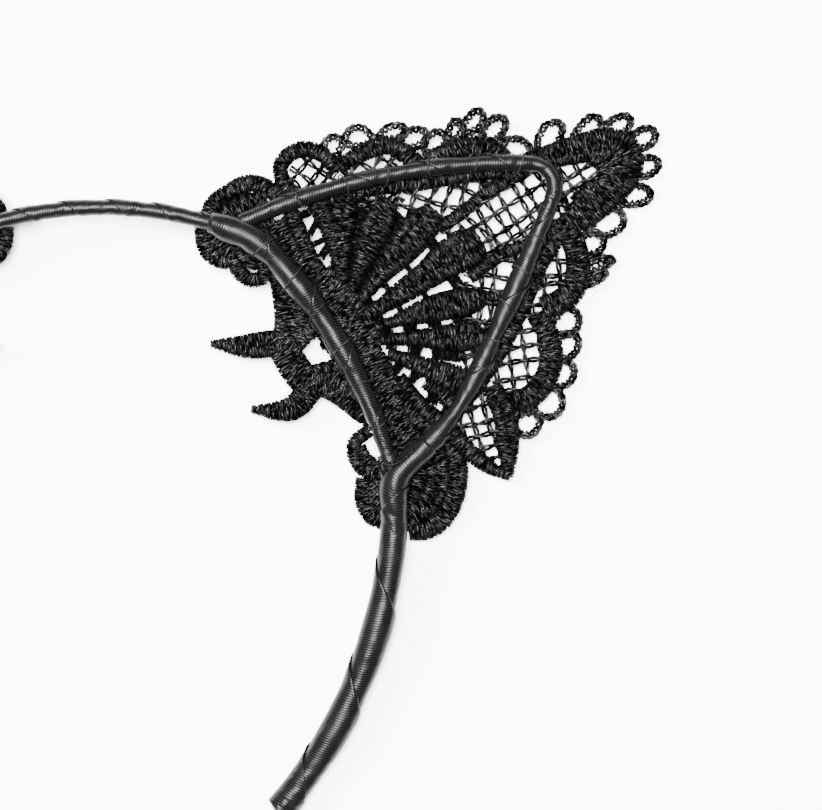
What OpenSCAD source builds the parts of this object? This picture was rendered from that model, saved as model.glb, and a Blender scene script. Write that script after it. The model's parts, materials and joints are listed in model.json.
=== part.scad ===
// Lace cat-ear headband: a C-shaped spring-steel band wound with satin ribbon, and two wire
// ears backed with lace. It lies on its front, so +Z is the back of the head, +Y the crown.

/* [Band] */
// Diameter of the spring-steel core
core_d = 1.8; // [1.6:0.1:1.9]
// Diameter over the ribbon between the two ears
bridge_d = 3.7; // [3.4:0.1:4]
// Diameter over the ribbon between the two roots of one ear
base_d = 5.8; // [5.4:0.1:6]
// Diameter over the ribbon just above the outer root
neck_d = 3.8; // [3.4:0.1:4.2]
// Diameter over the ribbon on the arms
arm_d = 5.8; // [5.4:0.1:6]
// Length of the folded ribbon at the end of each arm
tip_fold_len = 9; // [7:0.5:11]

/* [Ears] */
// Diameter of the bare ear wire
ear_wire_d = 1.1; // [0.9:0.1:1.2]
// Diameter over the ribbon on the ear wire
ear_leg_d = 3.8; // [3.4:0.1:4]
// Angle that each ear leans below the plane of the band
ear_lean = 4.5; // [4.2:0.1:4.6]
// Diameter of the ribbon wrap that hides each root of an ear
root_wrap_d = 6.5; // [6.4:0.1:6.6]

/* [Lace] */
// Thickness of the lace
lace_t = 0.9; // [0.7:0.1:1]
// Diameter of the sewing thread that holds the lace
thread_d = 0.36; // [0.3:0.02:0.4]
// Outer diameter of the picot loops round the edge of the lace
picot_d = 5.2; // [4.8:0.1:5.6]

/* [Rest] */
// Angle that the band leans up from the ends of its arms to its crown
band_lean = 2.9; // [2.7:0.1:3.1]

/* [Hidden] */
$fn = 48;

// Radial clearance of the wire eyes that the ears turn on, and of ribbon round a wire
eye_clear = 0.08;
ribbon_clear = 0.02;
// Length trimmed from both ends of every sleeve, so that neighbours don't share a face
sleeve_trim = 0.02;

// Each half of the band, from the crown down: bend radius and turn of every arc
CROWN = 0;
SHOULDER = 1;
FLANK = 2;
ROOT = 3;
CROTCH = 4;
ARM = 5;
BAND_ARCS = [[80, 20], [20, 27], [105, 26], [28, 7], [40, 11], [100, 40]];
BAND = [[0, 0], 0, BAND_ARCS];

// The roots of an ear sit where the crown arc ends and where the root arc ends
inner_root = arc_start(BAND, SHOULDER);
outer_root = arc_start(BAND, CROTCH);
chord = outer_root - inner_root;
chord_len = norm(chord);
chord_heading = atan2(chord.y, chord.x);

// An ear is drawn on its chord: x runs from the inner root to the outer, y out to the tip
eye_r = core_d / 2 + eye_clear + ear_wire_d / 2;
inner_tilt = chord_heading + heading(BAND, SHOULDER);
outer_tilt = chord_heading + heading(BAND, CROTCH);
inner_eye = eye_r * [sin(inner_tilt), cos(inner_tilt)];
outer_eye = [chord_len, 0] + eye_r * [sin(outer_tilt), cos(outer_tilt)];
TOP_LEG = 0;
TIP = 1;
SIDE_LEG = 2;
SIDE_BEND = 3;
EAR_ARCS = [[135, 26.6], [5, 109.4], [480, 5], [47.5, 29]];
EAR = [inner_eye, -82, EAR_ARCS];

// Bare wire left between each root and the ribbon of its leg
inner_gap = 7;
outer_gap = 6.4;

// Heights of the lace under the wires, and the split between its two pieces
ear_lace_top = -ear_leg_d / 2 - thread_d - 0.06;
base_lace_top = -base_d / 2 - thread_d - 0.06;
split_low = 10.2;
split_high = 11.5;

// The object rests on the round ends of its arms and on the tips of the lace; the origin is
// under the middle of its outline
fold_h = heading(BAND, ARM + 1) - turn_of(BAND, ARM, tip_fold_len);
fold_dir = [cos(fold_h), -sin(fold_h)];
fold_end = arc_point(BAND, ARM, fold_h) + (tip_fold_len - arm_d / 2) * fold_dir;
middle_y = 52.08;
rest_z = arm_d / 2 - fold_end.y * sin(band_lean);

BAND_NODES = ["band_core"];
SIDE_NODES = ["bridge_ribbon", "base_ribbon", "arm_ribbon", "tip_fold", "inner_root_wrap",
    "outer_root_wrap", "base_lace", "base_stitches", "ear_wire", "ear_top_ribbon",
    "ear_side_ribbon", "ear_lace", "ear_stitches"];

// Headings are degrees clockwise from +X. A path is [start, first heading, arcs], and every
// arc of it turns clockwise.
function heading(path, i) = i == 0 ? path[1] : heading(path, i - 1) + path[2][i - 1][1];
function arc_centre(path, i) =
    arc_start(path, i) - path[2][i][0] * [sin(heading(path, i)), cos(heading(path, i))];
function arc_point(path, i, h) = arc_centre(path, i) + path[2][i][0] * [sin(h), cos(h)];
function arc_start(path, i) = i == 0 ? path[0] : arc_point(path, i - 1, heading(path, i));
// The turn that covers a length along arc i
function turn_of(path, i, len) = len / path[2][i][0] * 180 / PI;

// A round bar along arc i between two headings, and a sleeve round such a bar
module bar(path, i, from, to, d) {
    c = arc_centre(path, i);
    translate([c.x, c.y, 0]) rotate([0, 0, 90 - to])
        rotate_extrude(angle = to - from) translate([path[2][i][0], 0]) circle(d = d);
}
module sleeve(path, i, from, to, d, bore) {
    c = arc_centre(path, i);
    trim = turn_of(path, i, sleeve_trim);
    translate([c.x, c.y, 0]) rotate([0, 0, 90 - to + trim])
        rotate_extrude(angle = to - from - 2 * trim) translate([path[2][i][0], 0]) difference() {
            circle(d = d);
            circle(d = bore + 2 * ribbon_clear);
        }
}
// One continuous wire along a path. Each arc starts a little way back inside the one before
// and is thinner by a hair, the step, so that no two round faces coincide.
module wire(path, first, last, from, to, d, lap, step) {
    for (i = [first : last]) {
        arc_from = i == first ? from : heading(path, i) - turn_of(path, i, lap);
        arc_to = i == last ? to : heading(path, i + 1);
        bar(path, i, arc_from, arc_to, d - i * step);
    }
}
// Children placed across a path, with the path running along their Z
module across(path, i, h) {
    p = arc_point(path, i, h);
    translate([p.x, p.y, 0]) rotate([0, 0, -h]) rotate([0, 90, 0]) children();
}
module ring(major_d, tube_d) {
    rotate_extrude() translate([major_d / 2, 0]) circle(d = tube_d);
}

// From the plane of the band to the object lying at rest
module at_rest() {
    translate([0, middle_y, rest_z]) rotate([band_lean, 0, 0]) children();
}
// From the chord of an ear to the plane of the band, and from its leaning plane
module on_chord() {
    translate([inner_root.x, inner_root.y, 0]) rotate([0, 0, chord_heading]) children();
}
module in_ear() {
    on_chord() rotate([-ear_lean, 0, 0]) children();
}

// Spring-steel wire, one length from arm end to arm end
module band_core_half() {
    lap = 0.4;
    step = 0.01;
    wire(BAND, SHOULDER, ARM, heading(BAND, SHOULDER) - turn_of(BAND, SHOULDER, lap), fold_h,
        core_d, lap, step);
    across(BAND, ARM, fold_h) translate([0, 0, -lap])
        cylinder(d = core_d - 8 * step, h = tip_fold_len - arm_d / 2 + lap);
}
module band_core() {
    color("silver") at_rest() {
        bar(BAND, CROWN, -heading(BAND, SHOULDER), heading(BAND, SHOULDER), core_d);
        band_core_half();
        mirror([1, 0, 0]) band_core_half();
    }
}

// Ribbon from the crown, where the band flexes, to the inner root
module bridge_ribbon() {
    flex_gap = 0.6;
    color("black") sleeve(BAND, CROWN, turn_of(BAND, CROWN, flex_gap),
        heading(BAND, SHOULDER) - turn_of(BAND, CROWN, root_wrap_d / 2 + 0.15), bridge_d, core_d);
}
// Ribbon between the two roots of the ear, thickest over the flank
module base_ribbon() {
    start = heading(BAND, SHOULDER) + turn_of(BAND, SHOULDER, root_wrap_d / 2 + 0.15);
    thin_to = heading(BAND, SHOULDER) + turn_of(BAND, SHOULDER, 6.6);
    neck_from = heading(BAND, ROOT) - turn_of(BAND, FLANK, 8);
    color("black") {
        sleeve(BAND, SHOULDER, start, thin_to, neck_d, core_d);
        sleeve(BAND, SHOULDER, thin_to, heading(BAND, FLANK), base_d, core_d);
        sleeve(BAND, FLANK, heading(BAND, FLANK), neck_from, base_d, core_d);
        sleeve(BAND, FLANK, neck_from, heading(BAND, ROOT), neck_d, core_d);
    }
}
// Ribbon from the outer root down the arm
module arm_ribbon() {
    start = heading(BAND, CROTCH) + turn_of(BAND, CROTCH, root_wrap_d / 2 + 0.15);
    color("black") {
        sleeve(BAND, CROTCH, start, heading(BAND, ARM), arm_d, core_d);
        sleeve(BAND, ARM, heading(BAND, ARM), fold_h, arm_d, core_d);
    }
}
// Ribbon folded over the end of the arm and glued down: a round-ended cap with a blind bore
module tip_fold() {
    straight = tip_fold_len - arm_d / 2;
    bore_d = core_d + 2 * ribbon_clear;
    color("black") across(BAND, ARM, fold_h) rotate_extrude() difference() {
        union() {
            square([arm_d / 2, straight]);
            translate([0, straight]) intersection() {
                circle(d = arm_d);
                square(arm_d);
            }
        }
        square([bore_d / 2, straight + ribbon_clear]);
    }
}

// Room for a leg of the ear, at an angle to the chord, as it turns about the chord
module leg_sweep(leg_angle) {
    half_turn = 30;
    reach = root_wrap_d;
    half_w = ear_wire_d / 2 + 0.35;
    rotate([0, 90, 0]) rotate([0, 0, 90 - half_turn]) rotate_extrude(angle = 2 * half_turn)
        intersection() {
            rotate([0, 0, 90 - leg_angle]) translate([0, -half_w]) square([reach, 2 * half_w]);
            translate([0.4, -reach]) square([reach, 2 * reach]);
        }
}
// A hollow knot of ribbon round the eye of the ear wire, open where the leg comes out
module root_wrap(root, i, h, u, leg_angle) {
    room_d = root_wrap_d - 1.3;
    color("black") difference() {
        translate([root.x, root.y, 0]) difference() {
            sphere(d = root_wrap_d);
            sphere(d = room_d);
        }
        bar(BAND, i, h - 25, h, core_d + 2 * ribbon_clear);
        bar(BAND, i + 1, h, h + 25, core_d + 2 * ribbon_clear);
        in_ear() translate([u, 0, 0]) leg_sweep(leg_angle);
    }
}
module inner_root_wrap() {
    root_wrap(inner_root, CROWN, heading(BAND, SHOULDER), -1.1, 82);
}
module outer_root_wrap() {
    root_wrap(outer_root, ROOT, heading(BAND, CROTCH), chord_len + 0.75, 92);
}

// Steel wire bent to the outline of the ear, with an eye round the band at each root
module ear_wire() {
    // The legs stop a little inside the tube of each eye
    from = heading(EAR, TOP_LEG) + 0.1;
    to = heading(EAR, SIDE_BEND + 1) - 0.4;
    color("silver") in_ear() {
        wire(EAR, TOP_LEG, SIDE_BEND, from, to, ear_wire_d, 0.2, 0.04);
        rotate([ear_lean, 0, 0]) {
            rotate([0, 0, -inner_tilt]) rotate([0, 90, 0]) ring(2 * eye_r, ear_wire_d);
            translate([chord_len, 0, 0]) rotate([0, 0, -outer_tilt]) rotate([0, 90, 0])
                ring(2 * eye_r, ear_wire_d);
        }
    }
}
module ear_top_ribbon() {
    start = heading(EAR, TOP_LEG) + turn_of(EAR, TOP_LEG, inner_gap);
    color("black") in_ear() {
        sleeve(EAR, TOP_LEG, start, heading(EAR, TIP), ear_leg_d, ear_wire_d);
        sleeve(EAR, TIP, heading(EAR, TIP), heading(EAR, SIDE_LEG), ear_leg_d, ear_wire_d);
    }
}
module ear_side_ribbon() {
    end = heading(EAR, SIDE_BEND + 1) - turn_of(EAR, SIDE_BEND, outer_gap);
    color("black") in_ear() {
        sleeve(EAR, SIDE_LEG, heading(EAR, SIDE_LEG), heading(EAR, SIDE_BEND),
            ear_leg_d, ear_wire_d);
        sleeve(EAR, SIDE_BEND, heading(EAR, SIDE_BEND), end, ear_leg_d, ear_wire_d);
    }
}

// Lobes of the lace beyond the split, as [x, y, radius] on the chord
LOBES = [[-2, 20.5, 6.3], [5.5, 33, 7], [16, 50, 7.6], [29.5, 70.5, 8.6], [43.5, 51, 7.8],
    [57, 36, 8.4], [63.5, 20.6, 6.6]];
// Middles of the picot loops round its edge
PICOTS = [[-4, 27], [-3, 33], [0.5, 39.5], [4, 43], [7, 46.5], [6.5, 51], [7.5, 56], [11.5, 59],
    [16.8, 59.2], [18.8, 67.5], [21.5, 75], [24.5, 79], [29.5, 81.2], [34.5, 79], [38, 75],
    [40, 67.5], [42.5, 62], [47, 60], [53.5, 49], [57, 46.5], [61.5, 42], [65, 37], [66.5, 31]];
module ear_lace() {
    window_d = 6;
    color("black") in_ear() translate([0, 0, ear_lace_top - lace_t]) linear_extrude(lace_t)
        intersection() {
            difference() {
                union() {
                    polygon([[2, 0], [-1, 14], [2, 34], [16, 56], [22, 68], [37, 68], [48, 50],
                        [60, 36], [58, 0]]);
                    polygon([[58, 14], [74, 20], [60, 27.5]]);
                    for (lobe = LOBES) translate([lobe.x, lobe.y]) circle(r = lobe.z);
                    for (p = PICOTS) translate(p) circle(d = picot_d);
                }
                for (p = PICOTS) translate(p) circle(d = picot_d - 2);
                for (p = [[-2.2, 20], [63.5, 21], [29, 67], [55, 34]])
                    translate(p) circle(d = window_d);
            }
            translate([-50, split_high]) square([150, 100]);
        }
}

// Lace under the band: shells at both roots, and a motif with two horns inside the band
module base_lace() {
    color("black") on_chord() translate([0, 0, base_lace_top - lace_t]) linear_extrude(lace_t)
        difference() {
            union() {
                polygon([[-2, 0], [-2, split_low], [60, split_low], [60, 0], [46, 2.5], [40, -1.5],
                    [38.5, -6], [35, -8], [24, -8], [21, -5], [19, -1], [12, 1]]);
                polygon([[21, -4], [25, -8], [21, -12.5], [17.6, -17.2], [16.6, -17], [18.6, -11]]);
                polygon([[38, -4.5], [39.6, -8.5], [37.6, -13], [33.6, -17.4], [32.8, -16.8],
                    [34.6, -11], [34, -7]]);
                for (lobe = [[-2.4, 4, 6.4], [0, -3.6, 4.8], [7.8, -0.6, 4.4], [53.5, -1.2, 4.4],
                    [62, -4.2, 5], [67.2, -1.4, 6.6], [65.8, 5.2, 7.6]])
                    translate([lobe.x, lobe.y]) circle(r = lobe.z);
            }
            translate([30, 1]) circle(d = 5);
            translate([-50, split_low]) square([110, 20]);
            // Room for the two legs of the ear when it tilts down
            translate([-3.4, 6]) square([6.8, 10]);
            translate([chord_len - 2.8, 5]) square([6.8, 10]);
        }
}

// Loops of thread that whip the lace to the wires, [arc, heading] each
module stitch(path, i, h, over_d) {
    across(path, i, h) ring(over_d + thread_d + 0.04, thread_d);
}
module base_stitches() {
    count = 6;
    from = heading(BAND, FLANK) + 1;
    to = heading(BAND, ROOT) - turn_of(BAND, FLANK, 10);
    color("black") for (k = [0 : count - 1])
        stitch(BAND, FLANK, from + (to - from) * k / (count - 1), base_d);
}
module ear_stitches() {
    count = 6;
    top_from = heading(EAR, TOP_LEG) + turn_of(EAR, TOP_LEG, 14);
    top_to = heading(EAR, TIP) - 1;
    side_from = heading(EAR, SIDE_LEG) + 0.3;
    side_to = heading(EAR, SIDE_BEND) - 0.3;
    color("black") in_ear() for (k = [0 : count - 1]) {
        stitch(EAR, TOP_LEG, top_from + (top_to - top_from) * k / (count - 1), ear_leg_d);
        stitch(EAR, SIDE_LEG, side_from + (side_to - side_from) * k / (count - 1), ear_leg_d);
    }
}

module right() {
    at_rest() children();
}
module left() {
    at_rest() mirror([1, 0, 0]) children();
}

band_core();
right() bridge_ribbon();  // right_bridge_ribbon
right() base_ribbon();  // right_base_ribbon
right() arm_ribbon();  // right_arm_ribbon
right() tip_fold();  // right_tip_fold
right() inner_root_wrap();  // right_inner_root_wrap
right() outer_root_wrap();  // right_outer_root_wrap
right() base_lace();  // right_base_lace
right() base_stitches();  // right_base_stitches
right() ear_wire();  // right_ear_wire
right() ear_top_ribbon();  // right_ear_top_ribbon
right() ear_side_ribbon();  // right_ear_side_ribbon
right() ear_lace();  // right_ear_lace
right() ear_stitches();  // right_ear_stitches
left() bridge_ribbon();  // left_bridge_ribbon
left() base_ribbon();  // left_base_ribbon
left() arm_ribbon();  // left_arm_ribbon
left() tip_fold();  // left_tip_fold
left() inner_root_wrap();  // left_inner_root_wrap
left() outer_root_wrap();  // left_outer_root_wrap
left() base_lace();  // left_base_lace
left() base_stitches();  // left_base_stitches
left() ear_wire();  // left_ear_wire
left() ear_top_ribbon();  // left_ear_top_ribbon
left() ear_side_ribbon();  // left_ear_side_ribbon
left() ear_lace();  // left_ear_lace
left() ear_stitches();  // left_ear_stitches
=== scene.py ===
"""Looks of the lace cat-ear headband: wound satin ribbon, guipure lace and sewing thread.

Lengths are in mm until a piece is made, and then its points are put in the row frame, in m.
Each sub-part is drawn for the right side and mirrored for the left one.
"""
import json
import math

import bpy
import numpy as np
from mathutils import Vector
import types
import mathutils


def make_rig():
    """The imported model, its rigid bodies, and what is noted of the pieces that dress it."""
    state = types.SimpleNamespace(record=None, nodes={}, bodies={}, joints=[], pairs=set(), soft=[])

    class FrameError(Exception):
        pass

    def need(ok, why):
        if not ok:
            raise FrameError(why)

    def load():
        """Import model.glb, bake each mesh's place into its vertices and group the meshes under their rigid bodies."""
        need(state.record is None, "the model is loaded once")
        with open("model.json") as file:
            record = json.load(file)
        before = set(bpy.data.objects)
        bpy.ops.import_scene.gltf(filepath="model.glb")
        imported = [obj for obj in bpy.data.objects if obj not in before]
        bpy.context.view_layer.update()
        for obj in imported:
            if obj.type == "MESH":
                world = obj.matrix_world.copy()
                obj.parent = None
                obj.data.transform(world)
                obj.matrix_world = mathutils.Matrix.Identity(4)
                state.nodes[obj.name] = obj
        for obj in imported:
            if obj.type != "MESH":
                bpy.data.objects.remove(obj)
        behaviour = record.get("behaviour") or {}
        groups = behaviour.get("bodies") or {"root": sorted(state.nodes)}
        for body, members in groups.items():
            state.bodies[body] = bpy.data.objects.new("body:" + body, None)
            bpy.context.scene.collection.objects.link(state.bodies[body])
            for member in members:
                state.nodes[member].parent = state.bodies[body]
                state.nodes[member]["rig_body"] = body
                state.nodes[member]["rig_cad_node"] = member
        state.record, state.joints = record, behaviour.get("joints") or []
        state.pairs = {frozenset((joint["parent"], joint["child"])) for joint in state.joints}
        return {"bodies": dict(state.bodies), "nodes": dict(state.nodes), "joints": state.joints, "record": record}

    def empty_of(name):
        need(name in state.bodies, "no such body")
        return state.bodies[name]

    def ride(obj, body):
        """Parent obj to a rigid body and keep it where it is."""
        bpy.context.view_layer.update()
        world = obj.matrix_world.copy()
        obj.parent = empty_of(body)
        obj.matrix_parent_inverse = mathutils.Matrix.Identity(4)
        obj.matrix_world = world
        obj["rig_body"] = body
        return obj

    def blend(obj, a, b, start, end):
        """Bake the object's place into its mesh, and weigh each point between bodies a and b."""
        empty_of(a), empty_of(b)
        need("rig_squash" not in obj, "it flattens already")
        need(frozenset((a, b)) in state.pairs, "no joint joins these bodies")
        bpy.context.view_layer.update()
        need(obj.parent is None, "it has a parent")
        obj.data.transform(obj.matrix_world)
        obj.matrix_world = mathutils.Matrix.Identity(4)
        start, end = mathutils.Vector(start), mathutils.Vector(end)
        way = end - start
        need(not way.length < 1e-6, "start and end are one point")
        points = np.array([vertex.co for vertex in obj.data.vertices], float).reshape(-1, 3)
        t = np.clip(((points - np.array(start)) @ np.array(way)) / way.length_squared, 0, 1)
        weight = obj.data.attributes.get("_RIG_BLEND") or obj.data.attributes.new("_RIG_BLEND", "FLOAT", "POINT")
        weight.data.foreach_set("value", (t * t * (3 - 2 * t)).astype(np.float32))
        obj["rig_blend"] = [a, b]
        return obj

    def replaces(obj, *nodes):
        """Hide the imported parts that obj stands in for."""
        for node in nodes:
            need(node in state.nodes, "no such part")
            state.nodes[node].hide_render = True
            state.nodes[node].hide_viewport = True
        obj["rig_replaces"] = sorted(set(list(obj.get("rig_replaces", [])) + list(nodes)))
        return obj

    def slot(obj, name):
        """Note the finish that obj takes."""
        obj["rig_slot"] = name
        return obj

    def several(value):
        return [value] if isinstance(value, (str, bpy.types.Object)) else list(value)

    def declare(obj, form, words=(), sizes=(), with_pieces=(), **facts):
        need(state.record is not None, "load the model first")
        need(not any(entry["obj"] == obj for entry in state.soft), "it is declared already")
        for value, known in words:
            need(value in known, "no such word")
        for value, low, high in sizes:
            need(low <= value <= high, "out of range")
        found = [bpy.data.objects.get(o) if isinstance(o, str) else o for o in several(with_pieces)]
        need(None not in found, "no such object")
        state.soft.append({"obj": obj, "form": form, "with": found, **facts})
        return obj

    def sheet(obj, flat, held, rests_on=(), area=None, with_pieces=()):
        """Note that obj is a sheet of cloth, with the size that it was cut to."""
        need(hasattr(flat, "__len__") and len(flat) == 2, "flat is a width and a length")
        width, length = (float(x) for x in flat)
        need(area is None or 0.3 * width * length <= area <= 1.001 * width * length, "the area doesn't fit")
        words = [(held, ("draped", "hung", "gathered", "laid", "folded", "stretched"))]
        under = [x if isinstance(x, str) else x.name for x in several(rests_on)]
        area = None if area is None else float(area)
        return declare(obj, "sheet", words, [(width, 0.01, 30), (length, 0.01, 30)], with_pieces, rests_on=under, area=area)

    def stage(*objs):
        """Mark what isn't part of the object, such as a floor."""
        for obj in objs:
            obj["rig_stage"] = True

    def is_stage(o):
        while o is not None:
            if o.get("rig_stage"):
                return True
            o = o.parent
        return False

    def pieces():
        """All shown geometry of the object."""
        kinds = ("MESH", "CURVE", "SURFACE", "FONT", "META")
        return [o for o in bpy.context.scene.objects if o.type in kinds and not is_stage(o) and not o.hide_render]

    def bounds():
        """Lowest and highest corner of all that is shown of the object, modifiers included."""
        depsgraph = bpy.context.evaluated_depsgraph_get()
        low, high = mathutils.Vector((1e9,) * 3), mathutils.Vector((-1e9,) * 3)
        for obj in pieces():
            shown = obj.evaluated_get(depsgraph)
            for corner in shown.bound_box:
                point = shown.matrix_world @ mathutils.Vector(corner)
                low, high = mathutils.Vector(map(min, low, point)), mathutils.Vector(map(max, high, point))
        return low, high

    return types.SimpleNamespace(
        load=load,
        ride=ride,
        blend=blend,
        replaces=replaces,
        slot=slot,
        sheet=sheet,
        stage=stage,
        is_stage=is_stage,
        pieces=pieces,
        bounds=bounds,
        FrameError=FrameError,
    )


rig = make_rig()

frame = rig.load()
cad_low, cad_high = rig.bounds()
MM = 0.001
FULL_TURN = 2 * math.pi

# ---------------------------------------------------------------- driving sizes, in mm
CORE_D = 1.8
EAR_LEAN = math.radians(4.5)
# Bend radius and turn, in degrees, of the arcs of half the band and of the ear wire
BAND_ARCS = [(80, 20), (20, 27), (105, 26), (28, 7), (40, 11), (100, 40)]
EAR_ARCS = [(135, 26.6), (5, 109.4), (480, 5), (47.5, 29)]
# Where the ear wire starts on the chord of the ear, and its heading there in degrees
EAR_START = (-0.92, 1.22)
EAR_HEADING = -82
# How many arcs of the band come before each root of the ear
INNER_ROOT_ARC, OUTER_ROOT_ARC = 1, 4
# Height of the middle of the lace under the wires, in an ear and under the band
EAR_LACE_Z = -2.75
BASE_LACE_Z = -3.7
# Where the lace bends as the ear tilts, measured out from the chord
LACE_BEND = (1, 12)
RIBBON_THICKNESS = 0.13
# The ribs of the ribbon are pulled round, in radians, until they nearly cross the wire
RIB_BIAS = 0.26
# Length of wire or ribbon for one unit of a ribbon's UV map
RIBBON_UV = 10

# ---------------------------------------------------------------- frames of the parts
joints = {j["name"]: j for j in frame["joints"]}
apex = np.array(joints["band_flex"]["pos_m"])
EZ = -np.array(joints["band_flex"]["axis"])
EX = np.array([1.0, 0.0, 0.0])
EY = np.cross(EZ, EX)


def band_to_row(p):
    """Points in mm in the plane of the band, measured from its crown, in the row frame."""
    p = np.asarray(p, float)
    return apex + MM * (p[..., :1] * EX + p[..., 1:2] * EY + p[..., 2:3] * EZ)


class Path:
    """Arcs with a length, a middle line and a side direction. Each is a bend radius and a turn
    in degrees, clockwise, or with both negative for one that turns the other way."""

    def __init__(self, start, heading, arcs):
        self.starts, self.headings, self.radii, self.lengths = [], [], [], []
        p, h = np.array(start, float), math.radians(heading)
        for radius, turn in arcs:
            self.starts.append(p)
            self.headings.append(h)
            self.radii.append(radius)
            self.lengths.append(radius * math.radians(turn))
            centre = p - radius * np.array([math.sin(h), math.cos(h)])
            h += math.radians(turn)
            p = centre + radius * np.array([math.sin(h), math.cos(h)])
        self.ends = np.cumsum(self.lengths)
        self.length = self.ends[-1]

    def at(self, s):
        """Middle line and side direction (to the left of travel) at lengths s."""
        s = np.asarray(s, float)
        i = np.clip(np.searchsorted(self.ends, s, side="right"), 0, len(self.radii) - 1)
        begin = np.concatenate([[0], self.ends[:-1]])[i]
        radius = np.array(self.radii, float)[i]
        h0 = np.array(self.headings)[i]
        h = h0 + (s - begin) / radius
        start = np.array(self.starts)[i]
        side0 = np.stack([np.sin(h0), np.cos(h0)], -1)
        side = np.stack([np.sin(h), np.cos(h)], -1)
        middle = start - radius[..., None] * side0 + radius[..., None] * side
        return middle, side


band = Path((0, 0), 0, BAND_ARCS)
inner_root_s = band.ends[INNER_ROOT_ARC - 1]
outer_root_s = band.ends[OUTER_ROOT_ARC - 1]
inner_root = band.at(inner_root_s)[0]
outer_root = band.at(outer_root_s)[0]
chord = (outer_root - inner_root) / np.linalg.norm(outer_root - inner_root)
# The ear wire: up the top leg, round the tip and down the side leg
ear = Path(EAR_START, EAR_HEADING, EAR_ARCS)
tip_s = ear.ends[0]
side_leg_s = ear.ends[1]


def chord_to_band(p, lean=0.0):
    """Points on the chord of an ear (along it, out to the tip, up) in the frame of the band."""
    p = np.asarray(p, float)
    u, v, z = p[..., 0], p[..., 1], p[..., 2]
    out = v * math.cos(lean) + z * math.sin(lean)
    up = -v * math.sin(lean) + z * math.cos(lean)
    x = inner_root[0] + u * chord[0] - out * chord[1]
    y = inner_root[1] + u * chord[1] + out * chord[0]
    return np.stack([x, y, up], -1)


def from_base(p):
    """Points on the chord of an ear, in the plane of the band, in the row frame."""
    return band_to_row(chord_to_band(p))


def from_ear(p):
    """Points on the chord of an ear, in its leaning plane, in the row frame."""
    return band_to_row(chord_to_band(p, EAR_LEAN))


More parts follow.
